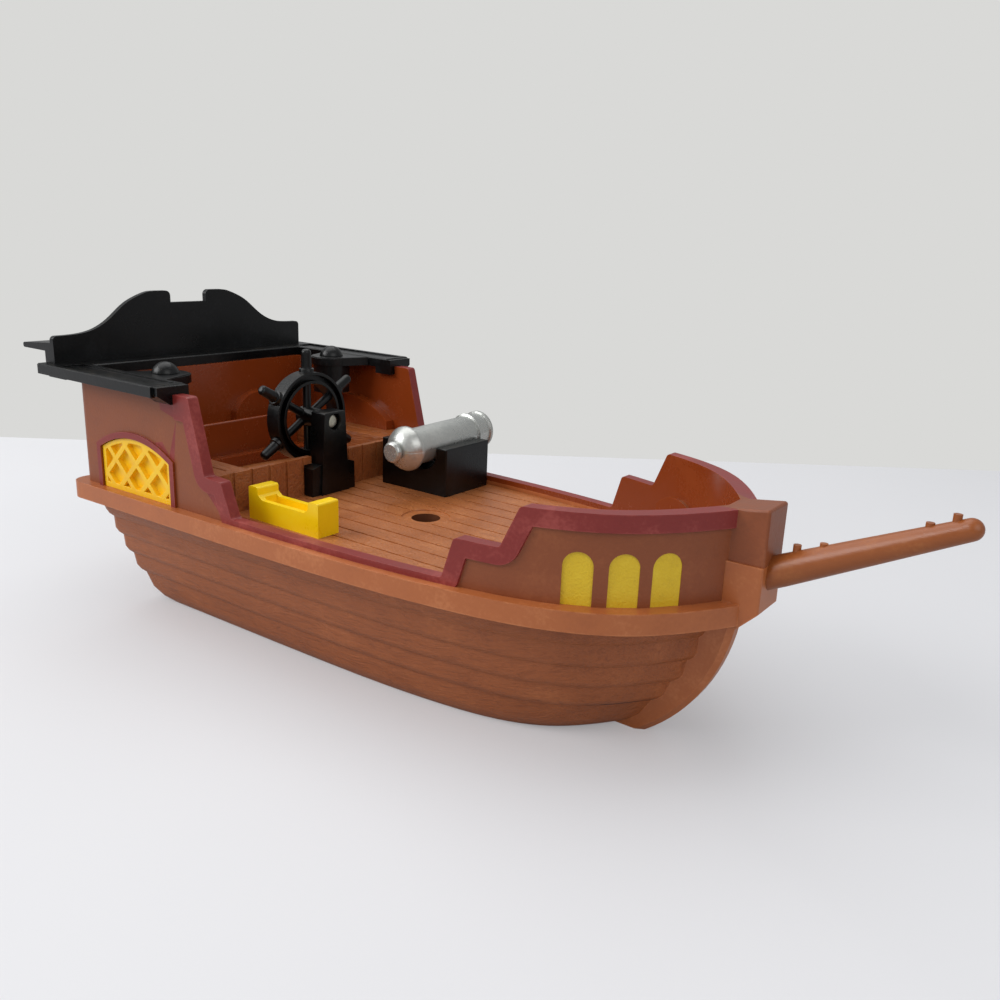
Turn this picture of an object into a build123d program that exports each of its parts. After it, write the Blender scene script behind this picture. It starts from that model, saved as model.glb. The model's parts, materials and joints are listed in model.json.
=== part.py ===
"""Toy sailing ship with a lapstrake hull, a stern frame, a spinning steering wheel and a cannon.

X points to the bow, Y to port and Z up.  The origin is on the flat bottom, below the
middle of the hull.  All sizes are in millimetres.
"""
import os
from math import cos, pi, radians, sin

from build123d import *

# hull form
HULL_STERN = 110.0          # transom of the bulwark, measured aft from the origin
HULL_BOW = 127.0            # point where both sides meet, ahead of the origin
HALF_BEAM = 53.8            # widest half breadth, over the coping
TRANSOM_SHARE = 1.04        # half breadth of the transom as a share of the half beam
CORNER_R = 5.0              # plan radius of the transom corners
EDGE_R = 0.8                # rounding of the stem block
BOTTOM_HALF_BEAM = 34.5     # half breadth of the flat bottom
BOTTOM_BOW = HULL_BOW - 32           # forward end of the flat bottom
BOTTOM_STERN = 95.0         # aft end of the flat bottom
STRAKES = 5
STRAKE_H = 8.0              # height of each strake above the lowest one
LIP_ROUND = 0.9             # the lower edge of a strake curves in by this much
LAP = 1.1                   # step at the lower edge of each strake
SHELL_WALL = 2.6
WALE_OVERHANG = 3.0         # the planking ends this far ahead of the transom
BOW_OVERHANG = 8.0          # and this far behind the point of the bulwark
BEAM_OVERHANG = 2.4         # and is this much narrower each side
STERN_FULLNESS = 4.5        # how soon the stern and the bow of the planking reach their full length
BOW_FULLNESS = 1.9
FLOOR_T = 2.4

# levels above the flat bottom
WALE_BOTTOM = 43.5
WALE_TOP = 49.5
WALE_PROUD = 2.8            # how far the rubbing strake stands out past the coping
DECK_TOP = 48.0
DECK_T = 2.4
WAIST_TOP = 51.4
TREAD_TOP = 63.6            # small steps beside the waist
BOW_TOP = 75.3
STERN_TOP = 88.3

# bulwark
WALL_T = 3.0
COPING_PROUD = 0.9
COPING_W = 5.0
FIT = 0.15                  # clearance of pieces set into one another
SEAT_GAP = 0.05             # running clearance of a pin in its hole

# stem
STEM_HALF_W = 3.2
STEM_HEAD = HULL_BOW - 2.6  # front of the stem where it meets the block
STEM_TOP = 41.0
STEM_FOOT = HULL_BOW - 27.0
STEM_ROOT = BOTTOM_BOW - 15.0
BLOCK_HALF_W = 6.6
BLOCK_FRONT = HULL_BOW + 5.0
BLOCK_AFT = HULL_BOW - 7.5
BLOCK_SPLIT = 61.0
BLOCK_TOP = 76.8
BLOCK_PROUD = 0.6           # the lower half of the stem block is this much wider each side
BLOCK_CHIN = 5.6            # slanted lower corner of the stem block

# windows
WINDOW_X = -76.0
WINDOW_W = 44.0
WINDOW_SPRING = 65.2        # level where the arch of a side window starts
WINDOW_CROWN = 71.8
WINDOW_RIM = 2.2
WINDOW_DEPTH = 5.2
RIM_PROUD = 0.8
TRANSOM_WINDOW_Y = 22.0
TRANSOM_WINDOW_W = 22.0
TRANSOM_SPRING = 66.0
TRANSOM_CROWN = 72.6
BULGE = 4.0                 # inward bulge of the wall behind each window
BULGE_SKIN = 1.6
BAR_W = 1.9                 # width of a lattice bar
LATTICE_T = 1.8
LATTICE_PITCH = 12.0
LATTICE_ANGLE = 46.0
BOW_WINDOW_W = 8.2
BOW_WINDOW_CROWN = 64.5
BOW_WINDOW_STATIONS = (HULL_BOW - 33.0, HULL_BOW - 22.8, HULL_BOW - 14.6)
RECESS = 0.8
BOW_PAD_X = HULL_BOW - 40.0
BOW_PAD_W = 17.0
BOW_PAD_TOP = 62.0

# deck furniture
MAST_X = 10.2
MAST_HOLE_R = 5.0
MAST_RING_R = 8.4
MAST_SOCKET_DEPTH = 16.0
PLANK = 7.6
GROOVE = 0.8
GROOVE_AFT = -37.0
GROOVE_BOW = HULL_BOW - 11.0
PEG_R = 1.8
QUARTER_TOP = 62.0
QUARTER_FRONT = -39.0
QUARTER_T = 2.2
WELL_HALF_W = 35.0
WELL_AFT = -96.0
BENCH_TOP = 66.0
BENCH_T = 2.0
SEAT_TOP = 52.6
SIDE_GAP_Y = 41.5

# stern frame and crest
FRAME_TOP = 91.3
FRAME_T = 3.7
FRAME_AFT = -123.5
FRAME_FWD = -54.0
FRAME_OUT = 61.2
FRAME_IN = 48.3
FRAME_BEAM_FRONT = -107.6
LIP_AFT = -121.0            # low lip under the rear beam, behind the transom
LIP_DROP = 1.2
CLIP_FWD = -51.8
CLIP_AFT = -60.2
CLIP_DROP = 2.6
FRAME_SEAT = FRAME_TOP - FRAME_T
LUG_X = -77.2
LUG_Y = 39.6
LUG_R = 8.6
COLUMN_R = 7.4
COLUMN_DROP = 15.0
PIN_R = 2.6
DOME_R = 4.8
DOME_H = 4.1
LUG_DROP = 0.3              # the lugs lie this far below the rails
CREST_X = -117.4
CREST_T = 2.2
CREST_FOOT_T = 6.1
CREST_HALF_W = 57.6
CREST_SHOULDER = 101.1
CREST_TOP = 116.1
# shares of the half width and of the rise from shoulder to top along the wave
CREST_CURVE = ((0.868, 0.01), (0.738, 0.087), (0.604, 0.353), (0.476, 0.733), (0.349, 0.947), (0.25, 1.0))
TAB_Y = 32.0
TAB_W = 10.0
TAB_T = 2.4
TAB_DEPTH = 2.6
NOTCH_HALF_W = 8.3
NOTCH_FLOOR = 111.5
SHELF_AFT = -138.6
SHELF_TOP = 98.6
SHELF_UNDER = 95.4
SHELF_EDGE_T = 1.8

# steering wheel
WHEEL_Z = 74.6
WHEEL_X = -48.6             # middle of the rim
WHEEL_RIM_R = 16.6
WHEEL_RIM_DEPTH = 6.0
WHEEL_RIM_T = 4.2
WHEEL_TIP_R = 24.8
SPOKES = 6
SPOKE_R = 1.5
HANDLE_R = 2.0
HUB_R = 3.6
HUB_GAP = 0.3
POST_FRONT = -33.8
POST_BACK = -40.8
POST_TOP = 78.3
POST_HALF_TOP = 5.0
POST_HALF_FOOT = 6.9
FOOT_HALF_W = 10.6
FOOT_TOP = 59.2
AXLE_R = 1.6
AXLE_HEAD_R = 2.6
HEAD_POCKET_R = 3.0
HEAD_POCKET_DEPTH = 3.0

# cannon
GUN_X = -11.8
GUN_Y = 35.0
GUN_Z = 66.6
GUN_TILT = 1.6
BLOCK_X = (-32.0, 0.0)
BLOCK_Y = (22.8, 48.2)
BLOCK_H = 18.0
GUN_R = 6.8
GUN_RING_R = 7.4
GUN_MUZZLE = 22.2           # muzzle face, measured from the trunnions
GUN_BREECH = -21.3          # widest place of the breech
GUN_BREECH_R = 8.2
GUN_KNOB = -29.4            # end of the knob behind the breech
GUN_KNOB_R = 3.9
GUN_BORE_R = 3.6
GUN_BORE_DEPTH = 5.0
TRUNNION_R = 1.8
TRUNNION_L = 3.0
TRUNNION_DROP = 3.2         # the trunnions sit this far below the axis of the barrel
SLOT_CLEAR = 0.35
SLOT_FLOOR = 56.8

# rack on the deck
RACK_X = (-31.6, 1.6)
RACK_Y = (-41.6, -32.8)
RACK_H = 11.2
RACK_SIDE_H = 7.2
RACK_END = 4.6
RACK_WALL = 1.8

# bowsprit
SPRIT_ROOT = (BLOCK_FRONT - 1.0, 57.7)
SPRIT_TIP = (BLOCK_FRONT + 47.9, 81.5)
SPRIT_ROOT_R = 4.4
SPRIT_TIP_R = 2.8
SPRIT_TENON = 9.0
# distance ahead of the stem block and level of the top of each peg
SPRIT_PEGS = ((5.8, 67.4), (12.5, 69.3), (36.4, 80.1), (42.0, 83.4))
SPRIT_PEG_R = 1.05

# screws
SCREW_R = 1.35
SCREW_HEAD_R = 2.6
SCREW_HEAD_H = 2.0
SCREW_L = 14.0
POST_R = 4.2
POST_BORE_R = 2.9
SCREW_SEAT = 19.0
SCREW_SEAT_T = 3.0
HULL_SCREWS = ((-62.0, 18.0), (-62.0, -18.0), (62.0, 13.0), (62.0, -13.0))

RACK_PEGS = ((-24.0, -37.2), (-6.0, -37.2))
BLOCK_PEGS = ((-26.0, 29.0), (-26.0, 42.0))
POST_PEG = (-38.0, 0.0)
PEGS = RACK_PEGS + BLOCK_PEGS + (POST_PEG,)

WALL_OUT = COPING_PROUD
WALL_IN = COPING_PROUD + WALL_T
DECK_BOTTOM = DECK_TOP - DECK_T
SPRIT_DIR = Vector(SPRIT_TIP[0] - SPRIT_ROOT[0], 0, SPRIT_TIP[1] - SPRIT_ROOT[1]).normalized()

os.makedirs("parts", exist_ok=True)


def save(part, name):
    part.label = name
    export_step(part, f"parts/{name}.step")


def side_points(stern, bow, beam):
    """Points along the port side in plan, from the transom corner to the stem."""
    return [
        (-stern, beam * TRANSOM_SHARE),
        (-0.55 * stern, beam * (1 + TRANSOM_SHARE) / 2),
        (-0.12 * stern, beam),
        (0.48 * bow, beam * 0.893),
        (0.71 * bow, beam * 0.745),
        (0.83 * bow, beam * 0.566),
        (0.91 * bow, beam * 0.35),
        (bow, 0),
    ]


def plan(z, stern, bow, beam, corner=CORNER_R):
    """Closed plan shape of the ship at one level."""
    port = side_points(stern, bow, beam)
    starboard = [(x, -y) for x, y in reversed(port)]
    with BuildSketch(Plane.XY.offset(z)) as outline:
        with BuildLine():
            Spline(port)
            Spline(starboard)
            Line(starboard[-1], port[0])
        make_face()
        fillet(outline.vertices().group_by(Axis.X)[0], radius=corner)
    return outline.sketch


def inset_plan(z, inset, corner=CORNER_R):
    """Plan of the bulwark, moved inwards from the outside of the coping."""
    return plan(z, HULL_STERN - inset, HULL_BOW - 1.35 * inset, HALF_BEAM - inset, corner)


def hull_plan(z, inset=0.0):
    """Plan of the planking at a level below the wale."""
    share = max(z, 0.0) / WALE_BOTTOM
    beam = BOTTOM_HALF_BEAM + (HALF_BEAM - BEAM_OVERHANG - BOTTOM_HALF_BEAM) * share
    bow = BOTTOM_BOW + (HULL_BOW - BOW_OVERHANG - BOTTOM_BOW) * (1 - (1 - share)**BOW_FULLNESS)
    stern = BOTTOM_STERN + (HULL_STERN - WALE_OVERHANG - BOTTOM_STERN) * (1 - (1 - share)**STERN_FULLNESS)
    return plan(z, stern - inset, bow - 1.35 * inset, beam - inset, CORNER_R + 1.0)



def sheer_profile():
    """Side view of the bulwark below its stepped top edge."""
    top = [
        (-160, FRAME_SEAT),
        (CLIP_AFT - FIT, FRAME_SEAT),
        (CLIP_AFT - FIT, FRAME_SEAT - CLIP_DROP),
        (CLIP_FWD + FIT, FRAME_SEAT - CLIP_DROP),
        (CLIP_FWD + FIT, STERN_TOP),
        (-44.1, STERN_TOP),
        (-37.5, TREAD_TOP - 0.4),
        (-29.5, TREAD_TOP - 0.8),
        (-25.0, WAIST_TOP),
        (57.6, WAIST_TOP),
        (61.2, TREAD_TOP),
        (74.5, TREAD_TOP - 0.4),
        (79.7, BOW_TOP),
        (160, BOW_TOP),
    ]
    with BuildSketch(Plane.XZ) as profile:
        with BuildLine():
            Polyline(top + [(160, -60), (-160, -60)], close=True)
        make_face()
        fillet([v for v in profile.vertices() if CLIP_FWD + 1 < v.X < 100], radius=1.4)
    return profile.sketch


def band_profile():
    """Side view of the raised band along the stepped top edge."""
    with BuildSketch(Plane.XZ) as profile:
        add(sheer_profile())
        offset(amount=-COPING_W, kind=Kind.INTERSECTION, mode=Mode.SUBTRACT)
        with Locations((CLIP_FWD - 60, STERN_TOP)):
            Rectangle(120, 60, mode=Mode.SUBTRACT)
    return profile.sketch


def breadth(x):
    """Half breadth over the coping at a station x."""
    side = Edge.make_spline([Vector(*point, 0) for point in side_points(HULL_STERN, HULL_BOW, HALF_BEAM)])
    low, high = 0.0, 1.0
    for _ in range(40):
        middle = (low + high) / 2
        if (side @ middle).X < x:
            low = middle
        else:
            high = middle
    return (side @ low).Y


def wall_plane(x, side):
    """Plane on the outer face of the wall at station x, facing outwards; side is 1 for port."""
    slope = (breadth(x + 2) - breadth(x - 2)) / 4
    return Plane(origin=(x, side * (breadth(x) - COPING_PROUD), 0), x_dir=(-side, -slope, 0),
                 z_dir=(-slope, side, 0))


def side_plane(side):
    return wall_plane(WINDOW_X, side)


def transom_plane(side):
    return Plane(origin=(-HULL_STERN + COPING_PROUD, side * TRANSOM_WINDOW_Y, 0), x_dir=(0, -1, 0),
                 z_dir=(-1, 0, 0))


def arch(plane, width, spring, crown, foot):
    """Window shape: straight sides up to the spring line and a flat arch above."""
    with BuildSketch(plane) as shape:
        with BuildLine():
            Polyline((-width / 2, spring), (-width / 2, foot), (width / 2, foot), (width / 2, spring))
            ThreePointArc((-width / 2, spring), (0, crown), (width / 2, spring))
        make_face()
    return shape.sketch


def window_bulge(plane, width, spring, crown, extra=0.0):
    """Solid behind a window that the wall swells over on the inside."""
    grow = BULGE_SKIN + extra
    with BuildPart() as bulge:
        extrude(to_extrude=arch(plane.offset(-WALL_T / 2), width + 2 * grow, spring + 0.5,
                                crown + 0.8 + grow, WALE_TOP),
                amount=-(WALL_T / 2 + BULGE + extra))
    return bulge.part


def window_rim(plane, width, spring, crown):
    with BuildPart() as rim:
        extrude(to_extrude=arch(plane.offset(-WALL_T / 2), width, spring, crown, WALE_TOP),
                amount=WALL_T / 2 + RIM_PROUD)
    return rim.part


def window_pocket(plane, width, spring, crown):
    """Opening that takes the lattice, from the foot of the wall up."""
    with BuildPart() as pocket:
        extrude(to_extrude=arch(plane.offset(RIM_PROUD), width - 2 * WINDOW_RIM, spring - 1,
                                crown - WINDOW_RIM,
                                WALE_TOP), amount=-(RIM_PROUD + WINDOW_DEPTH))
    return pocket.part


def lattice_window(plane, width, spring, crown):
    """Window insert: a plate with sunk diamonds between crossing bars."""
    clear = width - 2 * WINDOW_RIM - 2 * FIT
    outline = arch(plane.offset(-WINDOW_DEPTH), clear, spring - 1, crown - WINDOW_RIM - FIT, WALE_TOP)
    inside = arch(Plane.XY, clear - 2 * BAR_W, spring - 1 - BAR_W / 2, crown - WINDOW_RIM - BAR_W,
                  WALE_TOP + BAR_W)
    with BuildPart() as window:
        extrude(to_extrude=outline, amount=WINDOW_DEPTH)
        with BuildSketch(plane) as cells:
            add(inside)
            for lean in (LATTICE_ANGLE, -LATTICE_ANGLE):
                for step in range(-5, 6):
                    with Locations(Location((step * LATTICE_PITCH, (WALE_TOP + crown) / 2, 0), (0, 0, lean))):
                        Rectangle(BAR_W, 80, mode=Mode.SUBTRACT)
        extrude(amount=-LATTICE_T, mode=Mode.SUBTRACT)
        with BuildSketch(plane.offset(-WINDOW_DEPTH)) as hollow:
            add(arch(plane.offset(-WINDOW_DEPTH), clear - 3, spring - 2, crown - WINDOW_RIM - 2,
                     WALE_TOP + 1.5))
        extrude(amount=WINDOW_DEPTH - LATTICE_T - 1.2, mode=Mode.SUBTRACT)
    return window.part


def bow_window(x, side):
    """Shallow arched recess in the bow."""
    plane = wall_plane(x, side)
    with BuildPart() as recess:
        extrude(to_extrude=arch(plane.offset(2), BOW_WINDOW_W, BOW_WINDOW_CROWN - BOW_WINDOW_W / 2,
                                BOW_WINDOW_CROWN, WALE_TOP), amount=-(2 + RECESS))
    return recess.part


def bow_pad(side):
    """Arched pad on the inside of the bow wall."""
    plane = wall_plane(BOW_PAD_X, side).offset(-WALL_T / 2)
    with BuildPart() as pad:
        extrude(to_extrude=arch(plane, BOW_PAD_W, BOW_PAD_TOP - 4, BOW_PAD_TOP, WALE_TOP),
                amount=-(WALL_T / 2 + 1.8))
    return pad.part


def head_block():
    """Upper half of the stem block, which slopes down to the coping."""
    with BuildPart() as block:
        with BuildSketch(Plane.XZ.offset(-BLOCK_HALF_W)) as block_side:
            with BuildLine():
                Polyline((BLOCK_AFT, BLOCK_SPLIT), (BLOCK_AFT, BOW_TOP), (BLOCK_AFT + 1.5, BOW_TOP),
                         (BLOCK_FRONT, BLOCK_TOP), (BLOCK_FRONT, BLOCK_SPLIT), close=True)
            make_face()
        extrude(amount=2 * BLOCK_HALF_W)
        fillet(block.edges().filter_by(Axis.Z).group_by(Axis.X)[-1], radius=EDGE_R)
        fillet(block.edges().filter_by(Axis.Y).sort_by(Axis.Z)[-1], radius=EDGE_R)
    return block.part


with BuildPart() as sprit_bore:
    root = Vector(SPRIT_ROOT[0], 0, SPRIT_ROOT[1])
    with BuildSketch(Plane(origin=root - SPRIT_DIR * SPRIT_TENON, x_dir=(0, 1, 0),
                           z_dir=SPRIT_DIR)) as bore_end:
        Circle(SPRIT_ROOT_R + SEAT_GAP)
    extrude(amount=SPRIT_TENON + 8)
sprit_hole = sprit_bore.part


# ---------------------------------------------------------------- hull shell
with BuildPart() as hull_shell:
    for strake in range(STRAKES):
        high = WALE_BOTTOM - STRAKE_H * (STRAKES - 1 - strake)
        low = max(high - STRAKE_H, 0) if strake else 0
        lip = LIP_ROUND if strake else 2 * LIP_ROUND
        top_inset = 0 if strake == STRAKES - 1 else LAP
        loft(sections=[hull_plan(low, lip), hull_plan(low + 1.2 * lip, 0.25 * lip), hull_plan(low + 3 * lip),
                       hull_plan(high, top_inset)], ruled=True)
    extrude(to_extrude=inset_plan(WALE_BOTTOM, -WALE_PROUD, CORNER_R + 1), amount=WALE_TOP - WALE_BOTTOM)
    # stem
    with BuildSketch(Plane.XZ.offset(-STEM_HALF_W)) as stem:
        with BuildLine():
            Polyline((STEM_FOOT, 0), (STEM_ROOT, 0), (STEM_ROOT, STEM_TOP + 3), (STEM_HEAD, STEM_TOP + 3),
                     (STEM_HEAD, STEM_TOP))
            ThreePointArc((STEM_HEAD, STEM_TOP), (STEM_HEAD - 6.6, STEM_TOP / 2), (STEM_FOOT, 0))
        make_face()
    extrude(amount=2 * STEM_HALF_W)
    chamfer(hull_shell.edges().filter_by_position(Axis.Z, 2, 40).filter_by_position(Axis.X, STEM_FOOT - 1,
                                                                                    HULL_BOW)
            .filter_by(GeomType.CIRCLE), length=1.6)
    with BuildSketch(Plane.XZ.offset(-BLOCK_HALF_W - BLOCK_PROUD)) as lower_block:
        with BuildLine():
            Polyline((BLOCK_AFT, BLOCK_SPLIT), (BLOCK_AFT, WALE_TOP), (BLOCK_AFT - 7.5, WALE_TOP),
                     (BLOCK_AFT - 7.5, DECK_TOP - BLOCK_CHIN),
                     (BLOCK_FRONT, DECK_TOP - BLOCK_CHIN), (BLOCK_FRONT, BLOCK_SPLIT), close=True)
        make_face()
    extrude(amount=2 * (BLOCK_HALF_W + BLOCK_PROUD))
    fillet(hull_shell.edges().filter_by(Axis.Z).group_by(Axis.X)[-1], radius=EDGE_R)
    with BuildSketch(Plane.XZ.offset(-HALF_BEAM)) as chin:
        with BuildLine():
            Polyline((BLOCK_FRONT - BLOCK_CHIN, DECK_TOP - BLOCK_CHIN), (BLOCK_FRONT, DECK_TOP),
                     (BLOCK_FRONT + 9, DECK_TOP), (BLOCK_FRONT + 9, DECK_TOP - BLOCK_CHIN), close=True)
        make_face()
    extrude(amount=2 * HALF_BEAM, mode=Mode.SUBTRACT)
    # hollow inside, with a ledge for the deck
    cavity = [hull_plan(level, LAP + SHELL_WALL) for level in (FLOOR_T, WALE_BOTTOM / 2, WALE_BOTTOM)]
    loft(sections=cavity, ruled=True, mode=Mode.SUBTRACT)
    extrude(to_extrude=hull_plan(WALE_BOTTOM, LAP + SHELL_WALL), amount=3, mode=Mode.SUBTRACT)
    extrude(to_extrude=inset_plan(DECK_BOTTOM, WALL_IN), amount=WALE_TOP - DECK_BOTTOM, mode=Mode.SUBTRACT)
    # screw posts
    with BuildSketch(Plane.XY) as posts:
        with Locations(HULL_SCREWS):
            Circle(POST_R)
    extrude(amount=SCREW_SEAT + SCREW_SEAT_T)
    with BuildSketch(Plane.XY) as head_bores:
        with Locations(HULL_SCREWS):
            Circle(POST_BORE_R)
    extrude(amount=SCREW_SEAT, mode=Mode.SUBTRACT)
    with BuildSketch(Plane.XY) as shank_bores:
        with Locations(HULL_SCREWS):
            Circle(SCREW_R + SEAT_GAP)
    extrude(amount=SCREW_SEAT + SCREW_SEAT_T, mode=Mode.SUBTRACT)
    add(sprit_hole, mode=Mode.SUBTRACT)
save(hull_shell.part, "hull_shell")


# ---------------------------------------------------------------- bulwark
with BuildPart() as upper_bulwark:
    extrude(to_extrude=inset_plan(WALE_TOP, 0), amount=STERN_TOP - WALE_TOP)
    extrude(to_extrude=band_profile(), amount=HALF_BEAM + 5, both=True, mode=Mode.INTERSECT)
    extrude(to_extrude=inset_plan(WALE_TOP, WALL_OUT), amount=STERN_TOP - WALE_TOP)
    extrude(to_extrude=inset_plan(WALE_TOP, WALL_IN), amount=STERN_TOP - WALE_TOP, mode=Mode.SUBTRACT)
    extrude(to_extrude=sheer_profile(), amount=HALF_BEAM + 5, both=True, mode=Mode.INTERSECT)
    for side in (1, -1):
        add(window_bulge(side_plane(side), WINDOW_W, WINDOW_SPRING, WINDOW_CROWN))
        add(window_bulge(transom_plane(side), TRANSOM_WINDOW_W, TRANSOM_SPRING, TRANSOM_CROWN))
        add(bow_pad(side))
    for side in (1, -1):
        add(window_rim(side_plane(side), WINDOW_W, WINDOW_SPRING, WINDOW_CROWN))
        add(window_rim(transom_plane(side), TRANSOM_WINDOW_W, TRANSOM_SPRING, TRANSOM_CROWN))
    for side in (1, -1):
        add(window_pocket(side_plane(side), WINDOW_W, WINDOW_SPRING, WINDOW_CROWN), mode=Mode.SUBTRACT)
        add(window_pocket(transom_plane(side), TRANSOM_WINDOW_W, TRANSOM_SPRING, TRANSOM_CROWN),
            mode=Mode.SUBTRACT)
        for station in BOW_WINDOW_STATIONS:
            add(bow_window(station, side), mode=Mode.SUBTRACT)
    add(head_block())
    # room for the lower half of the stem block
    with BuildSketch(Plane.XY.offset(WALE_TOP)) as block_room:
        with Locations(((BLOCK_AFT + BLOCK_FRONT) / 2 + 3, 0)):
            Rectangle(BLOCK_FRONT - BLOCK_AFT + 6 + 2 * FIT, 2 * (BLOCK_HALF_W + BLOCK_PROUD + FIT))
    extrude(amount=BLOCK_SPLIT - WALE_TOP, mode=Mode.SUBTRACT)
    add(sprit_hole, mode=Mode.SUBTRACT)
save(upper_bulwark.part, "upper_bulwark")

for side, name in ((1, "port"), (-1, "starboard")):
    save(lattice_window(side_plane(side), WINDOW_W, WINDOW_SPRING, WINDOW_CROWN), f"lattice_window_{name}")
    save(lattice_window(transom_plane(side), TRANSOM_WINDOW_W, TRANSOM_SPRING, TRANSOM_CROWN),
         f"transom_window_{name}")


# ---------------------------------------------------------------- decks
with BuildPart() as main_deck:
    extrude(to_extrude=inset_plan(DECK_BOTTOM, WALL_IN + FIT), amount=DECK_T)
    # screw posts and mast socket below
    with BuildSketch(Plane.XY.offset(DECK_BOTTOM)) as deck_posts:
        with Locations(HULL_SCREWS):
            Circle(POST_R - 0.6)
    extrude(amount=-(DECK_BOTTOM - SCREW_SEAT - SCREW_SEAT_T))
    with BuildSketch(Plane.XY.offset(DECK_BOTTOM)) as socket:
        with Locations((MAST_X, 0)):
            Circle(MAST_HOLE_R + 2)
    extrude(amount=-MAST_SOCKET_DEPTH)
    with BuildSketch(Plane.XY.offset(DECK_TOP)) as mast_hole:
        with Locations((MAST_X, 0)):
            Circle(MAST_HOLE_R)
    extrude(amount=-MAST_SOCKET_DEPTH, mode=Mode.SUBTRACT)
    with BuildSketch(Plane.XY.offset(SCREW_SEAT + SCREW_SEAT_T)) as pilot_holes:
        with Locations(HULL_SCREWS):
            Circle(SCREW_R + SEAT_GAP)
    extrude(amount=SCREW_L, mode=Mode.SUBTRACT)
    # gaps between the planks, which stop short of the sides
    with BuildSketch(Plane.XY.offset(DECK_TOP)) as grooves:
        for row in range(-6, 6):
            with Locations(((GROOVE_AFT + GROOVE_BOW) / 2, (row + 0.3) * PLANK)):
                Rectangle(GROOVE_BOW - GROOVE_AFT, GROOVE)
        add(inset_plan(0, WALL_IN + 3), mode=Mode.INTERSECT)
    extrude(amount=-0.5, mode=Mode.SUBTRACT)
    with BuildSketch(Plane.XY.offset(DECK_TOP)) as ring:
        with Locations((MAST_X, 0)):
            Circle(MAST_RING_R)
    extrude(amount=-0.5, mode=Mode.SUBTRACT)
    # holes for the pegs of the deck furniture
    with BuildSketch(Plane.XY.offset(DECK_TOP)) as peg_holes:
        with Locations(PEGS):
            Circle(PEG_R + SEAT_GAP)
    extrude(amount=-DECK_T, mode=Mode.SUBTRACT)
save(main_deck.part, "main_deck")

with BuildPart() as quarter_deck:
    extrude(to_extrude=inset_plan(DECK_TOP, WALL_IN + FIT), amount=QUARTER_TOP - DECK_TOP)
    extrude(to_extrude=inset_plan(DECK_TOP, WALL_IN + FIT + QUARTER_T),
            amount=QUARTER_TOP - QUARTER_T - DECK_TOP,
            mode=Mode.SUBTRACT)
    with BuildSketch(Plane.XY.offset(DECK_TOP)) as front_wall:
        with Locations((QUARTER_FRONT - QUARTER_T / 2, 0)):
            Rectangle(QUARTER_T, 2 * HALF_BEAM)
        add(inset_plan(0, WALL_IN + FIT + 0.5), mode=Mode.INTERSECT)
    extrude(amount=QUARTER_TOP - DECK_TOP)
    with BuildSketch(Plane.XY.offset(DECK_TOP)) as side_walls:
        with Locations(((WELL_AFT + QUARTER_FRONT) / 2, 0)):
            Rectangle(QUARTER_FRONT - WELL_AFT, 2 * (WELL_HALF_W + QUARTER_T))
            Rectangle(QUARTER_FRONT - WELL_AFT, 2 * WELL_HALF_W, mode=Mode.SUBTRACT)
    extrude(amount=QUARTER_TOP - DECK_TOP)
    # everything ahead of the front wall and the open well
    with BuildSketch(Plane.XY.offset(DECK_TOP)) as waste:
        with Locations((QUARTER_FRONT + 100, 0)):
            Rectangle(200, 3 * HALF_BEAM)
        with Locations(((QUARTER_FRONT - QUARTER_T + WELL_AFT) / 2, 0)):
            Rectangle(QUARTER_FRONT - QUARTER_T - WELL_AFT, 2 * WELL_HALF_W)
    extrude(amount=QUARTER_TOP - DECK_TOP, mode=Mode.SUBTRACT)
    # room for the swelling walls behind the windows
    for side in (1, -1):
        add(window_bulge(side_plane(side), WINDOW_W, WINDOW_SPRING, WINDOW_CROWN, FIT), mode=Mode.SUBTRACT)
        add(window_bulge(transom_plane(side), TRANSOM_WINDOW_W, TRANSOM_SPRING, TRANSOM_CROWN, FIT),
            mode=Mode.SUBTRACT)
    # notch for the wheel post
    with BuildSketch(Plane.YZ.offset(QUARTER_FRONT)) as post_notch:
        with Locations((0, (DECK_TOP + FOOT_TOP + FIT) / 2)):
            Rectangle(2 * (FOOT_HALF_W + FIT), FOOT_TOP + FIT - DECK_TOP)
        with Locations((0, QUARTER_TOP)):
            Rectangle(2 * (POST_HALF_FOOT + FIT), 20)
    extrude(amount=-QUARTER_T, mode=Mode.SUBTRACT)
    # gaps between the upright planks of the front wall and along the side decks
    with BuildSketch(Plane.YZ.offset(QUARTER_FRONT)) as upright_gaps:
        for row in range(-6, 6):
            with Locations(((row + 0.5) * PLANK, (DECK_TOP + QUARTER_TOP) / 2)):
                Rectangle(1.2, QUARTER_TOP - DECK_TOP)
    extrude(amount=-0.6, mode=Mode.SUBTRACT)
    with BuildSketch(Plane.XY.offset(QUARTER_TOP)) as side_gaps:
        with Locations(*[((WELL_AFT + QUARTER_FRONT) / 2 - 1, side * SIDE_GAP_Y) for side in (1, -1)]):
            Rectangle(QUARTER_FRONT - WELL_AFT - 6, GROOVE)
    extrude(amount=-0.5, mode=Mode.SUBTRACT)
save(quarter_deck.part, "quarter_deck")

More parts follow.
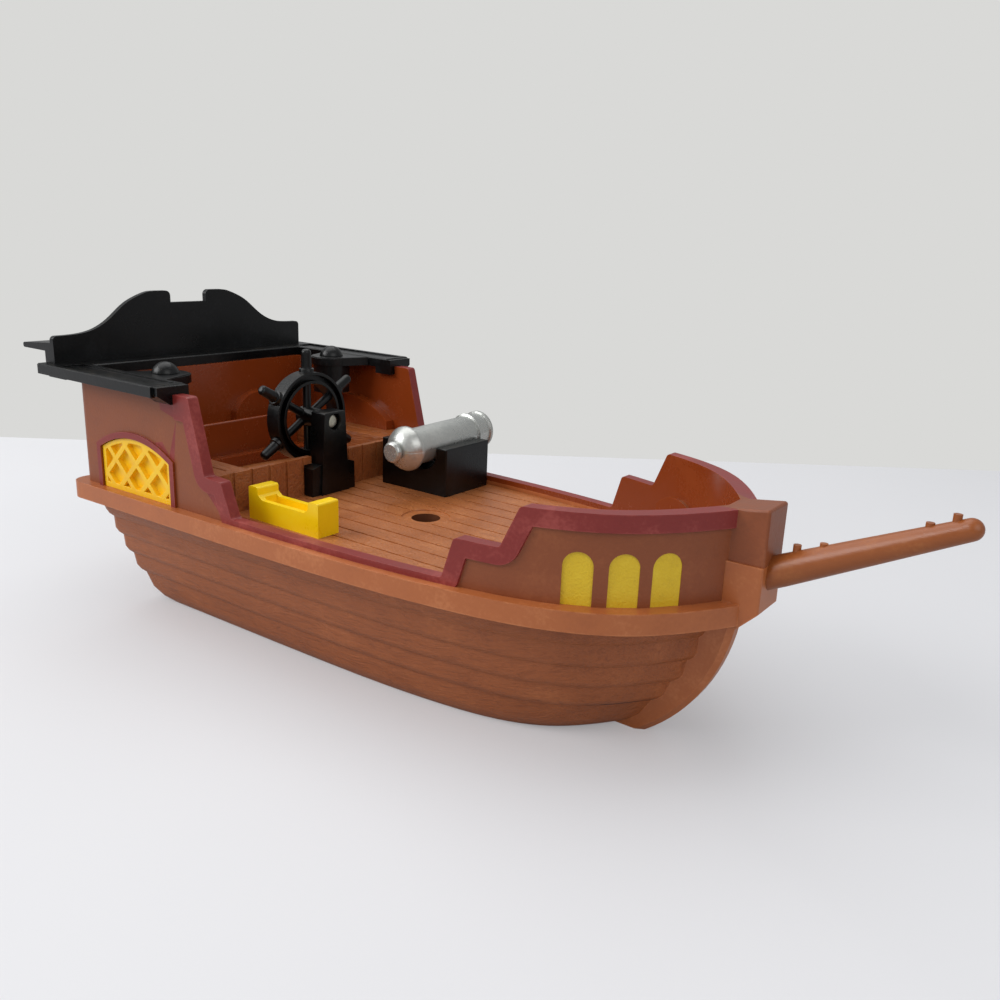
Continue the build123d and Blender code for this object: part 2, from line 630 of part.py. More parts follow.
with BuildPart() as stern_bench:
    with Locations((WELL_AFT + BENCH_T / 2 + FIT, 0, DECK_TOP)):
        Box(BENCH_T, 2 * (WELL_HALF_W - FIT), BENCH_TOP - DECK_TOP,
            align=(Align.CENTER, Align.CENTER, Align.MIN))
    fillet(stern_bench.edges().group_by(Axis.Z)[-1].filter_by(Axis.Y), radius=0.6)
    with BuildSketch(Plane.XY.offset(DECK_TOP)) as seat:
        with BuildLine():
            Line((WELL_AFT + BENCH_T, -WELL_HALF_W + FIT), (WELL_AFT + BENCH_T, WELL_HALF_W - FIT))
            Line((WELL_AFT + BENCH_T, WELL_HALF_W - FIT), (WELL_AFT + 12, WELL_HALF_W - FIT))
            ThreePointArc((WELL_AFT + 12, WELL_HALF_W - FIT), (WELL_AFT + 7, 0),
                          (WELL_AFT + 12, -WELL_HALF_W + FIT))
            Line((WELL_AFT + 12, -WELL_HALF_W + FIT), (WELL_AFT + BENCH_T, -WELL_HALF_W + FIT))
        make_face()
    extrude(amount=SEAT_TOP - DECK_TOP)
save(stern_bench.part, "stern_bench")


# ---------------------------------------------------------------- stern frame and crest
def lug_plan(z, side, shrink=0.0):
    with BuildSketch(Plane.XY.offset(z)) as lug:
        with BuildLine():
            Polyline((LUG_X - 12, side * (FRAME_IN + 1)), (LUG_X - LUG_R + shrink + 1, side * (LUG_Y - 4)),
                     (LUG_X + LUG_R - shrink, side * (LUG_Y - 2)), (LUG_X + 13, side * (FRAME_IN + 1)),
                     close=True)
        make_face()
        with Locations((LUG_X, side * LUG_Y)):
            Circle(LUG_R - shrink)
    return lug.sketch


with BuildPart() as stern_frame:
    with BuildSketch(Plane.XY.offset(FRAME_SEAT)) as u_shape:
        with Locations(((FRAME_AFT + FRAME_FWD) / 2, 0)):
            Rectangle(FRAME_FWD - FRAME_AFT, 2 * FRAME_OUT)
        with Locations(((FRAME_BEAM_FRONT + FRAME_FWD) / 2 + 5, 0)):
            Rectangle(FRAME_FWD - FRAME_BEAM_FRONT + 10, 2 * FRAME_IN, mode=Mode.SUBTRACT)
    extrude(amount=FRAME_T)
    chamfer(stern_frame.edges().filter_by(Axis.Z).group_by(Axis.X)[0], length=0.5)
    chamfer(stern_frame.faces().sort_by(Axis.Z)[-1].edges(), length=0.4)
    # shallow channel in the top of the side rails
    with BuildSketch(Plane.XY.offset(FRAME_TOP)) as channels:
        with GridLocations(0, FRAME_IN + FRAME_OUT, 1, 2):
            with Locations(((CREST_X + FRAME_FWD) / 2 + 2, 0)):
                Rectangle(FRAME_FWD - CREST_X - 8, FRAME_OUT - FRAME_IN - 4.5)
    extrude(amount=-0.6, mode=Mode.SUBTRACT)
    for side in (1, -1):
        extrude(to_extrude=lug_plan(FRAME_SEAT + LUG_DROP, side), amount=FRAME_T - 3 * LUG_DROP)
        extrude(to_extrude=lug_plan(FRAME_SEAT, side, 2 * LUG_DROP), amount=FRAME_T - LUG_DROP)
    # lip behind the transom
    with Locations(((LIP_AFT - HULL_STERN) / 2, 0, FRAME_SEAT)):
        Box(-LIP_AFT - HULL_STERN, 2 * (FRAME_OUT - 3), LIP_DROP,
            align=(Align.CENTER, Align.CENTER, Align.MAX))
    with BuildSketch(Plane.XY.offset(FRAME_SEAT + 1)) as columns:
        with Locations(*[(LUG_X, side * LUG_Y) for side in (1, -1)]):
            Circle(COLUMN_R)
    extrude(amount=-(COLUMN_DROP - FRAME_T + 1))
    # clips that drop into the notches of the wall
    with BuildSketch(Plane.YZ.offset(CLIP_FWD)) as clips:
        for side in (1, -1):
            with BuildLine():
                Polyline((side * FRAME_IN, FRAME_TOP - 0.4), (side * FRAME_IN, FRAME_SEAT - CLIP_DROP),
                         (side * (FRAME_OUT - 5.6), FRAME_SEAT - CLIP_DROP),
                         (side * (FRAME_OUT - 1), FRAME_SEAT + 0.6),
                         (side * (FRAME_OUT - 1), FRAME_TOP - 0.4), close=True)
            make_face()
    extrude(amount=CLIP_AFT - CLIP_FWD)
    with BuildSketch(Plane.XY.offset(FRAME_TOP)) as pin_bores:
        with Locations(*[(LUG_X, side * LUG_Y) for side in (1, -1)]):
            Circle(PIN_R + SEAT_GAP)
    extrude(amount=-COLUMN_DROP, mode=Mode.SUBTRACT)
    # slots for the tabs of the crest
    with BuildSketch(Plane.XY.offset(FRAME_TOP)) as tab_slots:
        with Locations(*[(CREST_X - CREST_FOOT_T / 2, side * TAB_Y) for side in (1, -1)]):
            Rectangle(TAB_T + 2 * SEAT_GAP, TAB_W + 2 * SEAT_GAP)
    extrude(amount=-TAB_DEPTH, mode=Mode.SUBTRACT)
save(stern_frame.part, "stern_frame")

with BuildPart() as crest_board:
    with BuildSketch(Plane.YZ.offset(CREST_X - CREST_T)) as wave:
        with BuildLine():
            Polyline((CREST_HALF_W, CREST_SHOULDER), (CREST_HALF_W, FRAME_TOP), (-CREST_HALF_W, FRAME_TOP),
                     (-CREST_HALF_W, CREST_SHOULDER))
            for side in (1, -1):
                rise = [(side * CREST_HALF_W * across, CREST_SHOULDER + (CREST_TOP - CREST_SHOULDER) * up)
                        for across, up in CREST_CURVE]
                Spline([(side * CREST_HALF_W, CREST_SHOULDER)] + rise, tangents=((-side, 0), (-side, 0)))
                Polyline(rise[-1], (side * NOTCH_HALF_W, CREST_TOP), (side * NOTCH_HALF_W, NOTCH_FLOOR))
            Line((NOTCH_HALF_W, NOTCH_FLOOR), (-NOTCH_HALF_W, NOTCH_FLOOR))
        make_face()
        fillet([v for v in wave.vertices() if abs(abs(v.X) - NOTCH_HALF_W) < 0.1 and v.Y > CREST_TOP - 1],
               radius=2)
        fillet([v for v in wave.vertices() if abs(abs(v.X) - CREST_HALF_W) < 0.1 and v.Y > FRAME_TOP + 1],
               radius=1.6)
    extrude(amount=CREST_T)
    # shelf behind the board and the thick foot below it
    with BuildSketch(Plane.XZ.offset(-CREST_HALF_W)) as shelf_side:
        with BuildLine():
            Polyline((CREST_X, FRAME_TOP), (CREST_X - CREST_FOOT_T, FRAME_TOP),
                     (CREST_X - CREST_FOOT_T, SHELF_UNDER),
                     (SHELF_AFT, SHELF_UNDER), (SHELF_AFT, SHELF_UNDER + SHELF_EDGE_T),
                     (CREST_X - CREST_T, SHELF_TOP),
                     (CREST_X, SHELF_TOP), close=True)
        make_face()
    extrude(amount=2 * CREST_HALF_W)
    fillet(crest_board.edges().filter_by(Axis.Y).group_by(Axis.X)[0], radius=0.45 * SHELF_EDGE_T)
    with BuildSketch(Plane.XY.offset(FRAME_TOP)) as tabs:
        with Locations(*[(CREST_X - CREST_FOOT_T / 2, side * TAB_Y) for side in (1, -1)]):
            Rectangle(TAB_T, TAB_W)
    extrude(amount=-(TAB_DEPTH - 2 * FIT))
save(crest_board.part, "crest_board")


def pin(x, y, z):
    """Snap pin with a low dome, seated on the lug."""
    ball = (DOME_R**2 + DOME_H**2) / (2 * DOME_H)
    along = 0.7 * DOME_R
    with BuildPart() as one_pin:
        with BuildSketch(Plane.XZ.offset(-y)) as half:
            with BuildLine():
                Polyline((x, z + DOME_H), (x, z - COLUMN_DROP + 2), (x + PIN_R - 0.6, z - COLUMN_DROP + 2),
                         (x + PIN_R, z - COLUMN_DROP + 3), (x + PIN_R, z), (x + DOME_R, z))
                ThreePointArc((x + DOME_R, z), (x + along, z + DOME_H - ball + (ball**2 - along**2) ** 0.5),
                              (x, z + DOME_H))
            make_face()
        revolve(axis=Axis((x, y, z), (0, 0, 1)))
    return one_pin.part


with BuildPart() as frame_pins:
    for side in (1, -1):
        add(pin(LUG_X, side * LUG_Y, FRAME_TOP - LUG_DROP))
save(frame_pins.part, "frame_pins")


# ---------------------------------------------------------------- steering wheel
with BuildPart() as wheel_pedestal:
    with BuildSketch(Plane.XY.offset(DECK_TOP)) as post_foot:
        with Locations(((POST_FRONT + POST_BACK) / 2, 0)):
            Rectangle(POST_FRONT - POST_BACK, 2 * POST_HALF_FOOT)
    with BuildSketch(Plane.XY.offset(POST_TOP)) as post_head:
        with Locations(((POST_FRONT + POST_BACK) / 2, 0)):
            Rectangle(POST_FRONT - POST_BACK, 2 * POST_HALF_TOP)
    loft()
    fillet(wheel_pedestal.edges().group_by(Axis.Z)[-1], radius=0.7)
    with BuildSketch(Plane.YZ.offset(POST_BACK)) as foot:
        with BuildLine():
            Polyline((-FOOT_HALF_W, DECK_TOP), (FOOT_HALF_W, DECK_TOP), (FOOT_HALF_W - 0.3, FOOT_TOP - 1),
                     (POST_HALF_FOOT, FOOT_TOP), (-POST_HALF_FOOT, FOOT_TOP),
                     (-FOOT_HALF_W + 0.3, FOOT_TOP - 1),
                     close=True)
        make_face()
    extrude(amount=POST_FRONT - POST_BACK - 0.8)
    with BuildSketch(Plane.YZ.offset(POST_FRONT)) as head_pocket:
        with Locations((0, WHEEL_Z)):
            Circle(HEAD_POCKET_R)
    extrude(amount=-HEAD_POCKET_DEPTH, mode=Mode.SUBTRACT)
    with BuildSketch(Plane.YZ.offset(POST_FRONT)) as axle_hole:
        with Locations((0, WHEEL_Z)):
            Circle(AXLE_R + SEAT_GAP)
    extrude(amount=-(POST_FRONT - POST_BACK), mode=Mode.SUBTRACT)
    with BuildSketch(Plane.XY.offset(DECK_TOP)) as post_pegs:
        with Locations(POST_PEG):
            Circle(PEG_R)
    extrude(amount=-DECK_T)
save(wheel_pedestal.part, "wheel_pedestal")

rim_aft = WHEEL_X - WHEEL_RIM_DEPTH / 2
with BuildPart() as steering_wheel:
    with BuildSketch(Plane.YZ.offset(rim_aft)) as rim_plan:
        with Locations((0, WHEEL_Z)):
            Circle(WHEEL_RIM_R)
            Circle(WHEEL_RIM_R - WHEEL_RIM_T, mode=Mode.SUBTRACT)
    extrude(amount=WHEEL_RIM_DEPTH)
    with BuildSketch(Plane.YZ.offset(rim_aft + WHEEL_RIM_DEPTH)) as channel:
        with Locations((0, WHEEL_Z)):
            Circle(WHEEL_RIM_R - 1.1)
            Circle(WHEEL_RIM_R - WHEEL_RIM_T + 1.1, mode=Mode.SUBTRACT)
    extrude(amount=-2.4, mode=Mode.SUBTRACT)
    with BuildSketch(Plane.YZ.offset(rim_aft + 0.6)) as hub:
        with Locations((0, WHEEL_Z)):
            Circle(HUB_R)
    extrude(amount=POST_BACK - HUB_GAP - rim_aft - 0.6)
    for spoke in range(SPOKES):
        turn = radians(90 + 360 / SPOKES * spoke)
        outward = Vector(0, cos(turn), sin(turn))
        middle = Vector(WHEEL_X, 0, WHEEL_Z)
        with BuildSketch(Plane(origin=middle + outward * (HUB_R - 0.8), x_dir=(1, 0, 0),
                               z_dir=outward)) as spoke_end:
            Circle(SPOKE_R)
        extrude(amount=WHEEL_RIM_R - WHEEL_RIM_T - HUB_R + 1.4)
        with BuildSketch(Plane(origin=middle + outward * (WHEEL_RIM_R - 0.5), x_dir=(1, 0, 0),
                               z_dir=outward)) as collar:
            Circle(HANDLE_R + 0.7)
        extrude(amount=1.7)
        with BuildSketch(Plane(origin=middle + outward * (WHEEL_RIM_R + 1), x_dir=(1, 0, 0),
                               z_dir=outward)) as grip:
            Circle(HANDLE_R)
        extrude(amount=WHEEL_TIP_R - WHEEL_RIM_R - 1, taper=2)
        fillet(steering_wheel.edges().filter_by(GeomType.CIRCLE).sort_by_distance(middle + outward * 40)[0],
               radius=1.3)
    with BuildSketch(Plane.YZ.offset(rim_aft - 1)) as hub_bore:
        with Locations((0, WHEEL_Z)):
            Circle(AXLE_R)
    extrude(amount=POST_BACK - rim_aft + 2, mode=Mode.SUBTRACT)
save(steering_wheel.part, "steering_wheel")

with BuildPart() as wheel_axle:
    with BuildSketch(Plane.YZ.offset(rim_aft + 0.6)) as shaft:
        with Locations((0, WHEEL_Z)):
            Circle(AXLE_R)
    extrude(amount=POST_FRONT - HEAD_POCKET_DEPTH + SEAT_GAP - rim_aft - 0.6)
    with BuildSketch(Plane.YZ.offset(POST_FRONT - HEAD_POCKET_DEPTH + SEAT_GAP)) as axle_head:
        with Locations((0, WHEEL_Z)):
            Circle(AXLE_HEAD_R)
    extrude(amount=1.4)
    fillet(wheel_axle.edges().group_by(Axis.X)[-1], radius=0.7)
save(wheel_axle.part, "wheel_axle")


# ---------------------------------------------------------------- cannon
with BuildPart() as cannon_carriage:
    with BuildSketch(Plane.XY.offset(DECK_TOP)) as carriage_plan:
        with Locations(((BLOCK_X[0] + BLOCK_X[1]) / 2, (BLOCK_Y[0] + BLOCK_Y[1]) / 2)):
            Rectangle(BLOCK_X[1] - BLOCK_X[0], BLOCK_Y[1] - BLOCK_Y[0])
    extrude(amount=BLOCK_H)
    fillet(cannon_carriage.edges().filter_by(Axis.Z) + cannon_carriage.edges().group_by(Axis.Z)[-1],
           radius=0.5)
    with BuildSketch(Plane.XZ.offset(-BLOCK_Y[1])) as slot:
        with Locations((GUN_X, SLOT_FLOOR + GUN_R + SLOT_CLEAR)):
            Circle(GUN_R + SLOT_CLEAR)
            Rectangle(2 * (GUN_R + SLOT_CLEAR), BLOCK_H, align=(Align.CENTER, Align.MIN))
    extrude(amount=BLOCK_Y[1] - BLOCK_Y[0], mode=Mode.SUBTRACT)
    # bearing holes for the trunnions
    with BuildSketch(Plane.YZ.offset(GUN_X)) as bearing:
        with Locations((GUN_Y, GUN_Z - TRUNNION_DROP)):
            Circle(TRUNNION_R + SEAT_GAP)
    extrude(amount=GUN_R + SLOT_CLEAR + TRUNNION_L, both=True, mode=Mode.SUBTRACT)
    with BuildSketch(Plane.XY.offset(DECK_TOP)) as block_pegs:
        with Locations(BLOCK_PEGS):
            Circle(PEG_R)
    extrude(amount=-DECK_T)
save(cannon_carriage.part, "cannon_carriage")

tilt = radians(GUN_TILT)
gun_plane = Plane(origin=(GUN_X, GUN_Y, GUN_Z), x_dir=(0, cos(tilt), sin(tilt)), z_dir=(1, 0, 0))
with BuildPart() as cannon:
    with BuildSketch(gun_plane) as gun_half:
        with BuildLine():
            Polyline((GUN_KNOB, 0), (GUN_KNOB, GUN_KNOB_R - 0.9))
            ThreePointArc((GUN_KNOB, GUN_KNOB_R - 0.9), (GUN_KNOB + 1.1, GUN_KNOB_R),
                          (GUN_KNOB + 2.6, GUN_KNOB_R - 1.3))
            Line((GUN_KNOB + 2.6, GUN_KNOB_R - 1.3), (GUN_KNOB + 3.2, 2.4))
            ThreePointArc((GUN_KNOB + 3.2, 2.4), (GUN_BREECH - 3.0, 0.76 * GUN_BREECH_R),
                          (GUN_BREECH, GUN_BREECH_R))
            Polyline((GUN_BREECH, GUN_BREECH_R), (GUN_BREECH + 1.0, GUN_BREECH_R),
                     (GUN_BREECH + 1.3, GUN_BREECH_R - 0.6),
                     (GUN_BREECH + 2.6, GUN_R), (GUN_MUZZLE - 8.8, GUN_R - 0.25),
                     (GUN_MUZZLE - 8.4, GUN_RING_R),
                     (GUN_MUZZLE - 7.4, GUN_RING_R), (GUN_MUZZLE - 7.0, GUN_R - 0.1),
                     (GUN_MUZZLE - 1.8, GUN_R - 0.1),
                     (GUN_MUZZLE - 1.4, GUN_RING_R), (GUN_MUZZLE - 0.3, GUN_RING_R),
                     (GUN_MUZZLE, GUN_RING_R - 0.4),
                     (GUN_MUZZLE, GUN_BORE_R), (GUN_MUZZLE - GUN_BORE_DEPTH, GUN_BORE_R),
                     (GUN_MUZZLE - GUN_BORE_DEPTH, 0), (GUN_KNOB, 0))
        make_face()
    revolve(axis=Axis((GUN_X, GUN_Y, GUN_Z), (0, cos(tilt), sin(tilt))))
    with BuildSketch(Plane.YZ.offset(GUN_X + GUN_R - 2)) as trunnion:
        with Locations((GUN_Y, GUN_Z - TRUNNION_DROP)):
            Circle(TRUNNION_R)
    extrude(amount=TRUNNION_L + SLOT_CLEAR + 2 - 0.4)
    with BuildSketch(Plane.YZ.offset(GUN_X - GUN_R + 2)) as far_trunnion:
        with Locations((GUN_Y, GUN_Z - TRUNNION_DROP)):
            Circle(TRUNNION_R)
    extrude(amount=-(TRUNNION_L + SLOT_CLEAR + 2 - 0.4))
split_plane = Plane(origin=(GUN_X, GUN_Y, GUN_Z), x_dir=(1, 0, 0), z_dir=(0, -sin(tilt), cos(tilt)))
with BuildPart() as cannon_upper:
    add(cannon.part)
    split(bisect_by=split_plane, keep=Keep.TOP)
save(cannon_upper.part, "cannon_barrel_upper")
with BuildPart() as cannon_lower:
    add(cannon.part)
    split(bisect_by=split_plane, keep=Keep.BOTTOM)
save(cannon_lower.part, "cannon_barrel_lower")


# ---------------------------------------------------------------- rack, bowsprit and screws
rack_middle = ((RACK_X[0] + RACK_X[1]) / 2, (RACK_Y[0] + RACK_Y[1]) / 2)
rack_length = RACK_X[1] - RACK_X[0]
rack_width = RACK_Y[1] - RACK_Y[0]
with BuildPart() as deck_rack:
    with BuildSketch(Plane.XZ.offset(-RACK_Y[1])) as rack_side:
        with BuildLine():
            Polyline((RACK_X[0], DECK_TOP), (RACK_X[0], DECK_TOP + RACK_H),
                     (RACK_X[0] + RACK_END, DECK_TOP + RACK_H),
                     (RACK_X[0] + RACK_END, DECK_TOP + RACK_SIDE_H + 1.4),
                     (RACK_X[0] + RACK_END + 2, DECK_TOP + RACK_SIDE_H),
                     (RACK_X[1] - RACK_END - 2, DECK_TOP + RACK_SIDE_H),
                     (RACK_X[1] - RACK_END, DECK_TOP + RACK_SIDE_H + 1.4),
                     (RACK_X[1] - RACK_END, DECK_TOP + RACK_H), (RACK_X[1], DECK_TOP + RACK_H),
                     (RACK_X[1], DECK_TOP),
                     close=True)
        make_face()
    extrude(amount=rack_width)
    with Locations((rack_middle[0], rack_middle[1], DECK_TOP + RACK_SIDE_H - 3.4)):
        Box(rack_length - 2 * RACK_END - 2, rack_width - 2 * RACK_WALL, 10,
            align=(Align.CENTER, Align.CENTER, Align.MIN),
            mode=Mode.SUBTRACT)
    fillet(deck_rack.edges().filter_by(Axis.Y).group_by(Axis.Z)[-1], radius=0.8)
    with BuildSketch(Plane.XY.offset(DECK_TOP)) as rack_pegs:
        with Locations(RACK_PEGS):
            Circle(PEG_R)
    extrude(amount=-DECK_T)
save(deck_rack.part, "deck_rack")

root = Vector(SPRIT_ROOT[0], 0, SPRIT_ROOT[1])
tip = Vector(SPRIT_TIP[0], 0, SPRIT_TIP[1])
sprit_length = (tip - root).length
sprit_plane = Plane(origin=root, x_dir=SPRIT_DIR, z_dir=(0, -1, 0))
with BuildPart() as bowsprit:
    with BuildSketch(sprit_plane) as spar_half:
        with BuildLine():
            Polyline((sprit_length, 0), (-SPRIT_TENON + SEAT_GAP, 0), (-SPRIT_TENON + SEAT_GAP, SPRIT_ROOT_R),
                     (4.0, SPRIT_ROOT_R), (sprit_length - SPRIT_TIP_R, SPRIT_TIP_R))
            ThreePointArc((sprit_length - SPRIT_TIP_R, SPRIT_TIP_R),
                          (sprit_length - SPRIT_TIP_R * (1 - sin(pi / 4)), SPRIT_TIP_R * cos(pi / 4)),
                          (sprit_length, 0))
        make_face()
    revolve(axis=Axis(root, SPRIT_DIR))
    for ahead, top in SPRIT_PEGS:
        station = BLOCK_FRONT + ahead
        axis_level = SPRIT_ROOT[1] + (station - SPRIT_ROOT[0]) * SPRIT_DIR.Z / SPRIT_DIR.X
        with BuildSketch(Plane.XY.offset(axis_level)) as stub:
            with Locations((station, 0)):
                Circle(SPRIT_PEG_R)
        extrude(amount=top - axis_level)
save(bowsprit.part, "bowsprit")


def screw(x, y, z):
    """Pan head screw driven upwards from its seat at z."""
    with BuildPart() as one_screw:
        with Locations((x, y, z - SCREW_HEAD_H)):
            Cylinder(SCREW_HEAD_R, SCREW_HEAD_H, align=(Align.CENTER, Align.CENTER, Align.MIN))
        fillet(one_screw.edges().group_by(Axis.Z)[0], radius=0.6)
        with Locations((x, y, z)):
            Cylinder(SCREW_R, SCREW_L, align=(Align.CENTER, Align.CENTER, Align.MIN))
    return one_screw.part


with BuildPart() as hull_screws:
    for x, y in HULL_SCREWS:
        add(screw(x, y, SCREW_SEAT))
save(hull_screws.part, "hull_screws")
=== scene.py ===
import json
import math

import bmesh
import bpy
from mathutils import Matrix, Vector
from mathutils.bvhtree import BVHTree

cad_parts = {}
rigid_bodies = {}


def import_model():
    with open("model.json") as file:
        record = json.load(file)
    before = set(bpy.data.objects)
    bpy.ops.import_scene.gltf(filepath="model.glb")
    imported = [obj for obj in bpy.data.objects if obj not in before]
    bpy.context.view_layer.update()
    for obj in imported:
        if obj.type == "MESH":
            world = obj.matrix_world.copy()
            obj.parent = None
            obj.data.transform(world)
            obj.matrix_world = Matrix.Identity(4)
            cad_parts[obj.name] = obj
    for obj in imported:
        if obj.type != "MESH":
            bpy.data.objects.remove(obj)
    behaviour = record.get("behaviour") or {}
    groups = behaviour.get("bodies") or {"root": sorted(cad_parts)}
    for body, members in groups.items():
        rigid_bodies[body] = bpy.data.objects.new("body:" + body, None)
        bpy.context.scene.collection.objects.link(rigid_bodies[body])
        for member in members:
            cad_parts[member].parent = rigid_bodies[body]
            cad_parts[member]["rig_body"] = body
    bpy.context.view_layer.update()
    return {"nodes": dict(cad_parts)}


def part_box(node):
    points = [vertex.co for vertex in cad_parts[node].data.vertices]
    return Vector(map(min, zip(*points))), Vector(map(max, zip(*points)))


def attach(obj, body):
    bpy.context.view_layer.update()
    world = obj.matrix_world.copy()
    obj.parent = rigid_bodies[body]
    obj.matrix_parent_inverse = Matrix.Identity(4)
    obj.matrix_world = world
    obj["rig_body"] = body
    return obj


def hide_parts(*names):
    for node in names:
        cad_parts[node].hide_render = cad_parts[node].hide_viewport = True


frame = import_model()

MM = 0.001
nodes = frame["nodes"]
scene = bpy.context.scene

# levels and places of the ship, read from the frame
wale_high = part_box("upper_bulwark")[0].z
deck_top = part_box("cannon_carriage")[0].z
bow_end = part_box("upper_bulwark")[1].x

# how the mouldings are split into paints
STEM_AFT = 118.5 * MM          # the stem block starts here
PLANKS_TOP = 43.4 * MM         # the rubbing strake starts above the planks here
STEM_FOOT_AFT = 93.5 * MM      # the narrow stem below the block reaches aft to here
STEM_HALF_WIDTH = 3.3 * MM
BLOCK_HALF_WIDTH = 7.2 * MM
COPING_AFT = -60.4 * MM        # the painted coping ends under the stern frame's clips
COPING_DEPTH = 5.3             # mm below the sheer line
COPING_TOP = 0.35              # mm, faces this near the sheer line are its top
SEAM_DEPTH = 0.15 * MM
LAP_FLOOR = 8.0 * MM           # the flat bottom below this has no shaded laps
WINDOWS_BEHIND_BOW = (38.0, 27.8, 19.6)  # mm, middles of the three arched recesses
WORLD_LIGHT = 0.5


# ---------------------------------------------------------------- colours and node helpers
def srgb(red, green, blue):
    """Linear colour from 0-255 display values."""
    out = []
    for value in (red, green, blue):
        share = value / 255
        out.append(share / 12.92 if share <= 0.04045 else ((share + 0.055) / 1.055) ** 2.4)
    return (*out, 1.0)


class Tree:
    """A node tree with short calls to add and join nodes."""

    def __init__(self, tree):
        self.tree = tree

    def add(self, kind, values=None, **settings):
        node = self.tree.nodes.new(kind)
        for key, value in settings.items():
            setattr(node, key, value)
        for key, value in (values or {}).items():
            socket = node.inputs[key]
            if isinstance(value, bpy.types.NodeSocket):
                self.tree.links.new(value, socket)
            else:
                socket.default_value = value
        return node

    def maths(self, operation, first, second=0.0, third=0.0, clamp=False):
        node = self.add("ShaderNodeMath", {0: first, 1: second, 2: third}, operation=operation, use_clamp=clamp)
        return node.outputs[0]

    def mix(self, factor, first, second, blend="MIX"):
        node = self.add("ShaderNodeMix", data_type="RGBA", blend_type=blend)
        for socket, value in ((node.inputs[0], factor), (node.inputs[6], first), (node.inputs[7], second)):
            if isinstance(value, bpy.types.NodeSocket):
                self.tree.links.new(value, socket)
            else:
                socket.default_value = value
        return node.outputs[2]

    def ramp(self, value, low, high, out_low=0.0, out_high=1.0):
        node = self.add("ShaderNodeMapRange", {0: value, 1: low, 2: high, 3: out_low, 4: out_high},
                        interpolation_type="SMOOTHSTEP")
        return node.outputs[0]


def new_group(name, inputs, outputs):
    """Empty shader node group; inputs and outputs are (name, socket type, default)."""
    tree = bpy.data.node_groups.new(name, "ShaderNodeTree")
    for label, kind, default in inputs:
        socket = tree.interface.new_socket(label, in_out="INPUT", socket_type=kind)
        if default is not None:
            socket.default_value = default
    for label, kind in outputs:
        tree.interface.new_socket(label, in_out="OUTPUT", socket_type=kind)
    helper = Tree(tree)
    return helper, helper.add("NodeGroupInput"), helper.add("NodeGroupOutput")


FLOAT = "NodeSocketFloat"
ROUGH_SPREAD = 0.06
BUMP_DISTANCE = 0.7 * MM


def edge_wear_and_highlight_group():
    """Mask of the rounded edges, broken up along their length: rubbed wear, and a painted highlight where lips and rims
    catch the light.
    """
    tree, entry, leave = new_group("edge_wear_and_highlight", [("Radius", FLOAT, 0.0008), ("Break", FLOAT, 0.5)], [("Edge", FLOAT)])
    bevel = tree.add("ShaderNodeBevel", {"Radius": entry.outputs["Radius"]}, samples=6)
    geometry = tree.add("ShaderNodeNewGeometry")
    facing = tree.add("ShaderNodeVectorMath", {0: bevel.outputs[0], 1: geometry.outputs["Normal"]},
                      operation="DOT_PRODUCT")
    edge = tree.ramp(tree.maths("SUBTRACT", 1.0, facing.outputs["Value"]), 0.015, 0.16)
    coords = tree.add("ShaderNodeTexCoord")
    noise = tree.add("ShaderNodeTexNoise", {"Vector": coords.outputs["Object"], "Scale": 260.0, "Detail": 3.0})
    broken = tree.maths("SUBTRACT", noise.outputs[0], tree.maths("MULTIPLY", entry.outputs["Break"], 0.5))
    share = tree.ramp(broken, 0.1, 0.4)
    tree.tree.links.new(tree.maths("MULTIPLY", edge, share), leave.inputs["Edge"])
    return tree.tree


def mottle_group():
    """Slow and fine variation of a moulded colour, from 0 to 1."""
    tree, entry, leave = new_group("mottle", [("Scale", FLOAT, 60.0), ("Fine", FLOAT, 900.0)], [("Value", FLOAT)])
    coords = tree.add("ShaderNodeTexCoord")
    slow = tree.add("ShaderNodeTexNoise", {"Vector": coords.outputs["Object"], "Scale": entry.outputs["Scale"],
                                           "Detail": 4.0, "Roughness": 0.6})
    fine = tree.add("ShaderNodeTexNoise", {"Vector": coords.outputs["Object"], "Scale": entry.outputs["Fine"],
                                           "Detail": 2.0})
    slow_share = tree.maths("MULTIPLY", slow.outputs[0], 0.72)
    value = tree.maths("ADD", slow_share, tree.maths("MULTIPLY", fine.outputs[0], 0.28))
    tree.tree.links.new(tree.ramp(value, 0.2, 0.8), leave.inputs["Value"])
    return tree.tree


